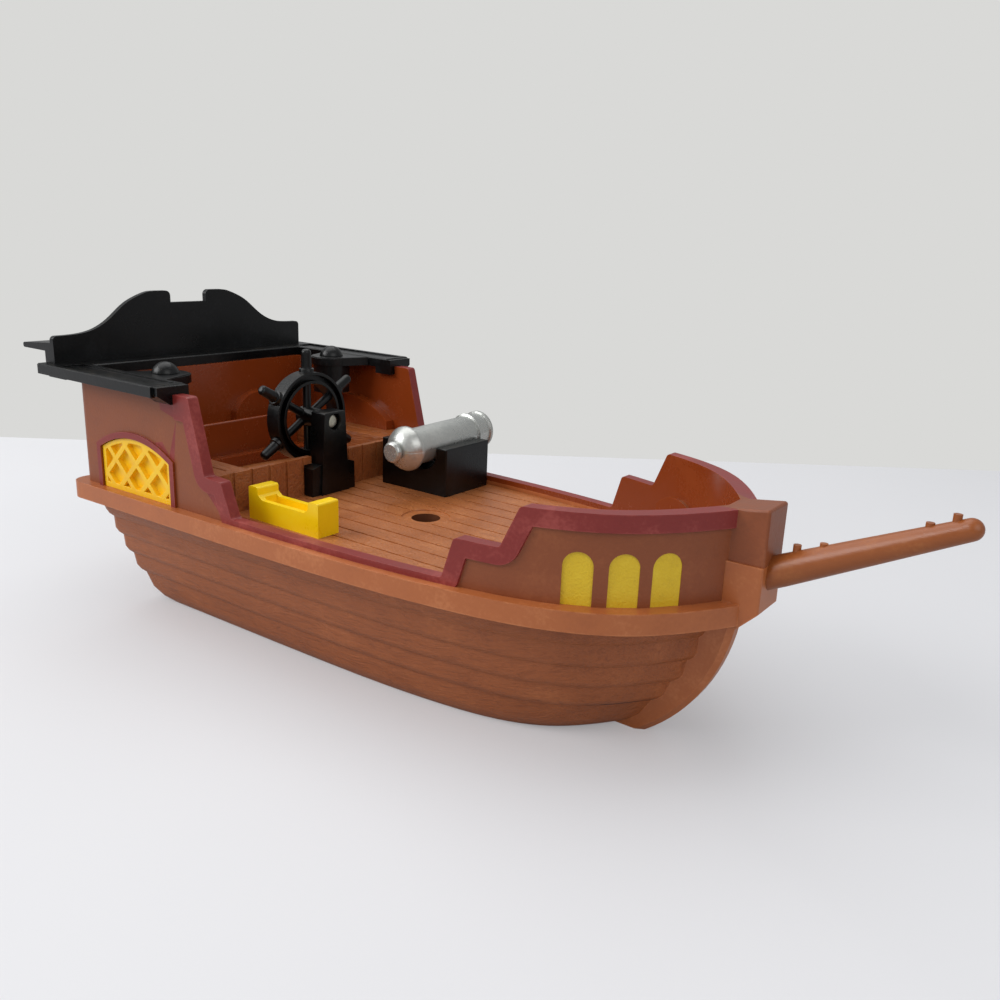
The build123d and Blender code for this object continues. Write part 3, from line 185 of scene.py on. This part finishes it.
def wood_group():
    """Carved wood grain that runs along X, as a height and a mask of its dark lines."""
    tree, entry, leave = new_group("carved_wood", [("Fibre", FLOAT, 1500.0), ("Along", FLOAT, 0.045)],
                                   [("Height", FLOAT), ("Lines", FLOAT)])
    coords = tree.add("ShaderNodeTexCoord")
    split = tree.add("ShaderNodeSeparateXYZ", {0: coords.outputs["Object"]})
    along = tree.maths("MULTIPLY", split.outputs[0], entry.outputs["Along"])
    drift = tree.add("ShaderNodeTexNoise", {"Vector": coords.outputs["Object"], "Scale": 38.0, "Detail": 2.0})
    sway = tree.maths("MULTIPLY", tree.maths("SUBTRACT", drift.outputs[0], 0.5), 0.012)
    high = tree.maths("ADD", split.outputs[2], sway)
    wide = tree.maths("ADD", split.outputs[1], sway)
    place = tree.add("ShaderNodeCombineXYZ", {0: along, 1: wide, 2: high})
    fibre = tree.add("ShaderNodeTexNoise", {"Vector": place.outputs[0], "Scale": entry.outputs["Fibre"], "Detail": 3.0,
                                            "Roughness": 0.55})
    broad_scale = tree.maths("MULTIPLY", entry.outputs["Fibre"], 0.28)
    broad = tree.add("ShaderNodeTexNoise", {"Vector": place.outputs[0], "Scale": broad_scale, "Detail": 2.0})
    fibre_share = tree.maths("MULTIPLY", fibre.outputs[0], 0.6)
    height = tree.maths("ADD", fibre_share, tree.maths("MULTIPLY", broad.outputs[0], 0.4))
    tree.tree.links.new(height, leave.inputs["Height"])
    tree.tree.links.new(tree.ramp(height, 0.5, 0.36), leave.inputs["Lines"])
    return tree.tree


def pebble_group():
    """Fine leathery grain of a textured moulding."""
    tree, entry, leave = new_group("pebble", [("Scale", FLOAT, 1500.0)], [("Height", FLOAT)])
    coords = tree.add("ShaderNodeTexCoord")
    cells = tree.add("ShaderNodeTexVoronoi", {"Vector": coords.outputs["Object"], "Scale": entry.outputs["Scale"]},
                     feature="SMOOTH_F1")
    fine = tree.add("ShaderNodeTexNoise", {"Vector": coords.outputs["Object"],
                                           "Scale": tree.maths("MULTIPLY", entry.outputs["Scale"], 0.8), "Detail": 3.0})
    cell_share = tree.maths("MULTIPLY", cells.outputs[0], 0.6)
    height = tree.maths("ADD", cell_share, tree.maths("MULTIPLY", fine.outputs[0], 0.6))
    tree.tree.links.new(height, leave.inputs["Height"])
    return tree.tree


def dust_group():
    """Mask of dust and specks that lie on faces that look up."""
    tree, entry, leave = new_group("dust", [("Amount", FLOAT, 0.5)], [("Dust", FLOAT)])
    coords = tree.add("ShaderNodeTexCoord")
    geometry = tree.add("ShaderNodeNewGeometry")
    up = tree.add("ShaderNodeSeparateXYZ", {0: geometry.outputs["Normal"]})
    flat = tree.ramp(up.outputs[2], 0.3, 0.95, 0.12, 1.0)
    specks = tree.add("ShaderNodeTexNoise", {"Vector": coords.outputs["Object"], "Scale": 1900.0, "Detail": 2.0})
    patches = tree.add("ShaderNodeTexNoise", {"Vector": coords.outputs["Object"], "Scale": 130.0, "Detail": 3.0})
    spots = tree.ramp(specks.outputs[0], 0.68, 0.78)
    haze = tree.ramp(patches.outputs[0], 0.5, 0.8, 0.0, 0.08)
    dust = tree.maths("MULTIPLY", tree.maths("ADD", spots, haze, clamp=True), flat)
    tree.tree.links.new(tree.maths("MULTIPLY", dust, entry.outputs["Amount"]), leave.inputs["Dust"])
    return tree.tree


groups = {"edge": edge_wear_and_highlight_group(), "mottle": mottle_group(), "wood": wood_group(), "pebble": pebble_group(),
          "dust": dust_group()}


def finish_of(name, colour, deep, pale, roughness, wood=0.0, pebble=0.0, pebble_size=1500.0, fibre=1500.0,
              edge=0.35, edge_radius=0.7, dust=0.0, lines=0.0, metallic=0.0, specular=0.5, mottle=60.0, drift=0.45):
    """Moulded plastic: colour drifts between deep and pale, with its own grain, rubbed edges that also carry a painted
    highlight, and dust.
    """
    material = bpy.data.materials.new(name)
    material.use_nodes = True
    tree = Tree(material.node_tree)
    shader = tree.tree.nodes["Principled BSDF"]

    def effect(key, **values):
        node = tree.add("ShaderNodeGroup", node_tree=groups[key])
        for label, value in values.items():
            node.inputs[label].default_value = value
        return node.outputs

    variation = effect("mottle", Scale=mottle)["Value"]
    tint = tree.mix(tree.ramp(variation, 0.5, 0.0, 0.0, drift), colour, deep)
    tint = tree.mix(tree.ramp(variation, 0.5, 1.0, 0.0, drift), tint, pale)
    height = tree.maths("MULTIPLY", variation, 0.02)
    if wood:
        grain = effect("wood", Fibre=fibre)
        height = tree.maths("ADD", height, tree.maths("MULTIPLY", grain["Height"], wood))
        tint = tree.mix(tree.maths("MULTIPLY", grain["Lines"], lines), tint, deep)
    if pebble:
        bumps = effect("pebble", Scale=pebble_size)["Height"]
        height = tree.maths("ADD", height, tree.maths("MULTIPLY", bumps, pebble))
    # paler rounded edges: rubbed wear and a painted highlight along lips and rims
    wear_and_highlight = effect("edge", Radius=edge_radius * MM)["Edge"]
    tint = tree.mix(tree.maths("MULTIPLY", wear_and_highlight, edge), tint, pale)
    rough = tree.ramp(variation, 0.0, 1.0, roughness - ROUGH_SPREAD, roughness + ROUGH_SPREAD)
    if dust:
        lint = effect("dust", Amount=dust)["Dust"]
        tint = tree.mix(lint, tint, srgb(140, 120, 90))
        rough = tree.maths("ADD", rough, tree.maths("MULTIPLY", lint, 0.4), clamp=True)
    bump = tree.add("ShaderNodeBump", {"Height": height, "Strength": 1.0, "Distance": BUMP_DISTANCE})
    tree.tree.links.new(tint, shader.inputs["Base Color"])
    tree.tree.links.new(rough, shader.inputs["Roughness"])
    tree.tree.links.new(bump.outputs[0], shader.inputs["Normal"])
    shader.inputs["Metallic"].default_value = metallic
    shader.inputs["Specular IOR Level"].default_value = specular
    return material


# the strong pale edges on the strake lips are a painted highlight
hull_plastic = finish_of("hull_plastic", srgb(160, 90, 50), srgb(122, 64, 34), srgb(194, 118, 72), 0.42, wood=0.8,
                         lines=0.35, edge=0.6, edge_radius=0.8, specular=0.42)
lap_shadow = finish_of("lap_shadow", srgb(84, 42, 22), srgb(66, 32, 16), srgb(120, 66, 36), 0.5, wood=0.4)
# painted highlight: the hull plastic made paler on the smooth wale, stem and block
smooth_highlight_plastic = finish_of("smooth_highlight_plastic", srgb(176, 100, 54), srgb(154, 84, 44), srgb(212, 138, 88), 0.34, edge=0.55,
                         edge_radius=0.9)
wall_plastic = finish_of("wall_plastic", srgb(138, 74, 42), srgb(118, 62, 34), srgb(164, 96, 58), 0.42, pebble=0.08,
                         edge=0.25, specular=0.42)
# painted shade: the wall plastic in a darker, more orange copy for the inward faces and the stern bench
inner_shade_plastic = finish_of("inner_shade_plastic", srgb(136, 58, 20), srgb(118, 48, 16), srgb(176, 88, 38), 0.25, edge=0.5,
                          specular=0.55, drift=0.15)
seam_shadow = finish_of("seam_shadow", srgb(96, 50, 24), srgb(78, 38, 16), srgb(120, 68, 36), 0.5)
deck_plastic = finish_of("deck_plastic", srgb(172, 102, 54), srgb(124, 64, 30), srgb(210, 140, 86), 0.38, wood=0.3,
                         pebble=0.5, pebble_size=1300.0, edge=0.4, edge_radius=0.5, lines=0.3)
plank_plastic = finish_of("plank_plastic", srgb(158, 90, 46), srgb(108, 54, 26), srgb(188, 122, 72), 0.36, wood=0.95,
                          lines=0.45, pebble=0.15, edge=0.45)
maroon_paint = finish_of("maroon_paint", srgb(132, 44, 40), srgb(114, 36, 34), srgb(186, 92, 84), 0.38, edge=0.4,
                         edge_radius=0.8, pebble=0.05, specular=0.42)
window_paint = finish_of("window_paint", srgb(226, 190, 36), srgb(200, 164, 28), srgb(236, 206, 60), 0.5, pebble=0.25,
                         pebble_size=1800.0, edge=0.2, mottle=160.0)
black_plastic = finish_of("black_plastic", srgb(3, 4, 5), srgb(1, 2, 2), srgb(30, 32, 35), 0.32, edge=0.3,
                          edge_radius=0.5, dust=0.6, pebble=0.04, specular=0.36)
lattice_plastic = finish_of("lattice_plastic", srgb(252, 200, 20), srgb(232, 170, 8), srgb(255, 216, 60), 0.34,
                            edge=0.3, edge_radius=0.4)
rack_plastic = finish_of("rack_plastic", srgb(254, 212, 4), srgb(240, 192, 0), srgb(255, 226, 50), 0.32, edge=0.35,
                         edge_radius=0.5, mottle=90.0)
spar_plastic = finish_of("spar_plastic", srgb(148, 80, 34), srgb(128, 66, 26), srgb(180, 112, 58), 0.34, edge=0.3,
                         wood=0.12)
silver_plastic = finish_of("silver_plastic", srgb(190, 192, 188), srgb(168, 171, 168), srgb(228, 228, 222), 0.3,
                           edge=0.6, edge_radius=0.6, metallic=0.7, pebble=0.08, pebble_size=2400.0)
axle_metal = finish_of("axle_metal", srgb(206, 204, 190), srgb(180, 176, 160), srgb(232, 232, 224), 0.3, metallic=0.85,
                       edge=0.3)
screw_metal = finish_of("screw_metal", srgb(150, 150, 148), srgb(120, 120, 118), srgb(190, 190, 186), 0.34,
                        metallic=0.9, edge=0.3)


# ---------------------------------------------------------------- mouldings with rounded edges
def moulded(node, name, width, materials, paint=None, segments=3, angle=30.0, flat=True):
    """Copy of a CAD node as one moulding with rounded edges; paint gives each face its material."""
    mesh = nodes[node].data.copy()
    mesh.name = name
    piece = bpy.data.objects.new(name, mesh)
    scene.collection.objects.link(piece)
    shape = bmesh.new()
    shape.from_mesh(mesh)
    bmesh.ops.remove_doubles(shape, verts=shape.verts, dist=0.02 * MM)
    if flat:
        bmesh.ops.dissolve_limit(shape, angle_limit=math.radians(0.01), verts=shape.verts, edges=shape.edges)
    shape.normal_update()
    for face in shape.faces:
        face.smooth = True
        face.material_index = paint(face) if paint else 0
    mesh.materials.clear()
    for material in materials:
        mesh.materials.append(material)
    shape.to_mesh(mesh)
    shape.free()
    mesh.set_sharp_from_angle(angle=math.radians(angle))
    bevel = piece.modifiers.new("rounding", "BEVEL")
    bevel.width = width * MM
    bevel.segments = segments
    bevel.limit_method = "ANGLE"
    bevel.angle_limit = math.radians(angle)
    bevel.harden_normals = True
    bevel.use_clamp_overlap = True
    even = piece.modifiers.new("flat_faces", "WEIGHTED_NORMAL")
    even.weight = 80
    even.keep_sharp = True
    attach(piece, nodes[node]["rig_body"])
    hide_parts(node)
    return piece


def sheer_distance(x, z):
    """Distance in mm below the stepped top edge of the bulwark, seen from the side."""
    top = [(-60.3, 85.0), (-51.7, 85.0), (-51.7, 88.3), (-44.1, 88.3), (-37.5, 63.2), (-29.5, 62.8), (-25.0, 51.4),
           (57.6, 51.4), (61.2, 63.6), (74.5, 63.2), (79.7, 75.3), (160.0, 75.3)]
    place = Vector((x / MM, z / MM))
    best = 1e9
    for (ax, az), (bx, bz) in zip(top, top[1:]):
        start, run = Vector((ax, az)), Vector((bx - ax, bz - az))
        share = max(0.0, min(1.0, (place - start).dot(run) / run.length_squared))
        best = min(best, (place - start - run * share).length)
    return best


windows = {name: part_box(name) for name in ("lattice_window_port", "lattice_window_starboard", "transom_window_port",
                                           "transom_window_starboard")}
rim = 2.9 * MM


def on_window_rim(centre):
    """True on the raised frame round one of the four lattice windows."""
    for node, (low, high) in windows.items():
        if centre.z > high.z + rim:
            continue
        if node.startswith("lattice"):
            side = math.copysign(1, low.y)
            outer = max(abs(low.y), abs(high.y))
            if low.x - rim < centre.x < high.x + rim and side * centre.y > outer - 0.9 * MM:
                return True
        elif low.y - rim < centre.y < high.y + rim and centre.x < low.x - 0.2 * MM:
            return True
    return False


WALL, MAROON, INNER_SHADE, YELLOW = range(4)


def bulwark_paint(face):
    """Maroon coping and window rims, yellow bow windows, brown walls, and painted shade on the inward faces."""
    centre, normal = face.calc_center_median(), face.normal
    outward = normal.xy.dot(Vector((centre.x + 0.02, centre.y)).normalized())
    below = sheer_distance(centre.x, centre.z)
    deepest = max(sheer_distance(corner.co.x, corner.co.z) for corner in face.verts)
    if centre.x > STEM_AFT and abs(centre.y) < BLOCK_HALF_WIDTH:
        return WALL
    if centre.x > COPING_AFT and below < COPING_TOP and abs(normal.y) < 0.4:
        return MAROON
    if centre.x > COPING_AFT and deepest < COPING_DEPTH and outward > 0.25:
        return MAROON
    if outward > -0.2 and on_window_rim(centre):
        return MAROON
    # faces that look inward take the painted shade colour
    return INNER_SHADE if outward < 0.1 else WALL


def bow_windows(piece):
    """Paints the floors of the three arched recesses on each side of the bow."""
    tree = BVHTree.FromPolygons([v.co for v in piece.data.vertices], [p.vertices for p in piece.data.polygons])
    shape = bmesh.new()
    shape.from_mesh(piece.data)
    shape.faces.ensure_lookup_table()
    for behind in WINDOWS_BEHIND_BOW:
        for side in (1, -1):
            start = Vector((bow_end - behind * MM, side * 0.1, wale_high + 6 * MM))
            index = tree.ray_cast(start, Vector((0, -side, 0)))[2]
            if index is None:
                continue
            first = shape.faces[index]
            todo, done = [first], {first}
            while todo:
                face = todo.pop()
                face.material_index = YELLOW
                for edge in face.edges:
                    for other in edge.link_faces:
                        if other not in done and other.normal.dot(first.normal) > 0.9999:
                            done.add(other)
                            todo.append(other)
    shape.to_mesh(piece.data)
    shape.free()


def hull_paint(face):
    """Planks below the wale with painted shade under the laps; smooth wale, stem and block in a paler copy of the
    plastic that paints highlight.
    """
    centre = face.calc_center_median()
    on_stem = centre.x > STEM_FOOT_AFT and abs(centre.y) < STEM_HALF_WIDTH
    if centre.z > PLANKS_TOP or centre.x > STEM_AFT or on_stem:
        # wale, stem and block take the paler painted-highlight plastic
        return 1
    return 2 if face.normal.z < -0.8 and centre.z > LAP_FLOOR else 0


def deck_paint(face):
    """Dark seams between the deck planks."""
    return 1 if face.calc_center_median().z < deck_top - SEAM_DEPTH else 0


moulded("hull_shell", "planked_hull", 0.55, [hull_plastic, smooth_highlight_plastic, lap_shadow], hull_paint)
bulwark = moulded("upper_bulwark", "painted_bulwark", 0.55, [wall_plastic, maroon_paint, inner_shade_plastic, window_paint],
                  bulwark_paint)
bow_windows(bulwark)
moulded("main_deck", "planked_deck", 0.12, [deck_plastic, seam_shadow], deck_paint, segments=2)
moulded("quarter_deck", "helm_deck", 0.4, [plank_plastic], segments=2)
moulded("stern_bench", "helm_bench", 0.4, [inner_shade_plastic])
for side in ("port", "starboard"):
    moulded(f"lattice_window_{side}", f"side_lattice_{side}", 0.2, [lattice_plastic], segments=2, flat=False)
    moulded(f"transom_window_{side}", f"stern_lattice_{side}", 0.2, [lattice_plastic], segments=2, flat=False)
moulded("stern_frame", "black_stern_frame", 0.4, [black_plastic])
moulded("crest_board", "black_crest", 0.5, [black_plastic])
moulded("frame_pins", "domed_pins", 0.3, [black_plastic], segments=2)
moulded("wheel_pedestal", "wheel_post", 0.5, [black_plastic])
moulded("steering_wheel", "ships_wheel", 0.3, [black_plastic], segments=2)
moulded("wheel_axle", "wheel_rivet", 0.2, [axle_metal], segments=2)
moulded("cannon_carriage", "gun_carriage", 0.5, [black_plastic])
moulded("cannon_barrel_upper", "gun_upper_half", 0.15, [silver_plastic], segments=2)
moulded("cannon_barrel_lower", "gun_lower_half", 0.15, [silver_plastic], segments=2)
moulded("deck_rack", "yellow_rack", 0.5, [rack_plastic])
moulded("bowsprit", "spar", 0.35, [spar_plastic])
moulded("hull_screws", "pan_screws", 0.2, [screw_metal], segments=2)


# ---------------------------------------------------------------- camera, floor and light
def camera():
    """Camera above the starboard bow, turned a little about its own line of sight."""
    yaw, pitch, roll = math.radians(35.87), math.radians(15.96), math.radians(2.28)
    look = Vector((-math.cos(pitch) * math.sin(yaw), math.cos(pitch) * math.cos(yaw), -math.sin(pitch)))
    right = look.cross(Vector((0, 0, 1))).normalized()
    up = right.cross(look)
    tilted_right = right * math.cos(roll) + up * math.sin(roll)
    tilted_up = up * math.cos(roll) - right * math.sin(roll)
    data = bpy.data.cameras.new("camera")
    data.sensor_width = 36.0
    data.lens = 33.29
    data.clip_start, data.clip_end = 0.01, 30.0
    eye = bpy.data.objects.new("camera", data)
    turn = Matrix((tilted_right, tilted_up, -look)).transposed()
    eye.matrix_world = Matrix.Translation((0.2091, -0.2319, 0.1420)) @ turn.to_4x4()
    scene.collection.objects.link(eye)
    scene.camera = eye


def floor():
    """Pale table top, ending behind the ship."""
    data = bpy.data.meshes.new("table_top")
    along, away = Vector((0.795, 0.606, 0)), Vector((-0.606, 0.795, 0))
    edge = Vector((-0.149, 0.2614, 0))
    corners = [edge - along * 4, edge + along * 4, edge + along * 4 - away * 5, edge - along * 4 - away * 5]
    data.from_pydata(corners, [], [(0, 1, 2, 3)])
    table = bpy.data.objects.new("table_top", data)
    scene.collection.objects.link(table)
    material = bpy.data.materials.new("table_paper")
    material.use_nodes = True
    tree = Tree(material.node_tree)
    shader = tree.tree.nodes["Principled BSDF"]
    coords = tree.add("ShaderNodeTexCoord")
    slow = tree.add("ShaderNodeTexNoise", {"Vector": coords.outputs["Object"], "Scale": 4.0, "Detail": 3.0})
    tint = tree.mix(slow.outputs[0], srgb(188, 188, 191), srgb(194, 194, 196))
    tree.tree.links.new(tint, shader.inputs["Base Color"])
    paths = tree.add("ShaderNodeLightPath")
    shader.inputs["Emission Color"].default_value = srgb(246, 247, 250)
    glow = tree.maths("MULTIPLY", paths.outputs["Is Camera Ray"], 0.25)
    tree.tree.links.new(glow, shader.inputs["Emission Strength"])
    shader.inputs["Roughness"].default_value = 0.6
    shader.inputs["Specular IOR Level"].default_value = 0.25
    data.materials.append(material)


def lamp(name, place, size, power, aim=(0, 0, 0.05), tint=(1, 1, 1)):
    data = bpy.data.lights.new(name, "AREA")
    data.shape = "RECTANGLE"
    data.size, data.size_y = size
    data.energy = power
    data.color = tint
    light = bpy.data.objects.new(name, data)
    light.location = place
    light.rotation_mode = "QUATERNION"
    light.rotation_quaternion = (Vector(aim) - Vector(place)).to_track_quat("-Z", "Y")
    scene.collection.objects.link(light)


def world():
    sky = bpy.data.worlds.new("room")
    scene.world = sky
    sky.use_nodes = True
    tree = Tree(sky.node_tree)
    back = tree.tree.nodes["Background"]
    paths = tree.add("ShaderNodeLightPath")
    shade = tree.mix(paths.outputs["Is Camera Ray"], (0.80, 0.81, 0.82, 1), srgb(217, 217, 215))
    tree.tree.links.new(shade, back.inputs["Color"])
    strength = tree.maths("MULTIPLY_ADD", paths.outputs["Is Camera Ray"], 1.0 - WORLD_LIGHT, WORLD_LIGHT)
    tree.tree.links.new(strength, back.inputs["Strength"])


camera()
floor()
lamp("overhead", (-0.35, 0.1, 1.0), (1.2, 1.0), 5.8)
lamp("front", (0.8, -0.3, 0.6), (0.8, 0.6), 2.0)
lamp("side", (-0.65, -0.75, 0.7), (0.8, 0.6), 7.8)
world()
scene.view_settings.view_transform = "Standard"
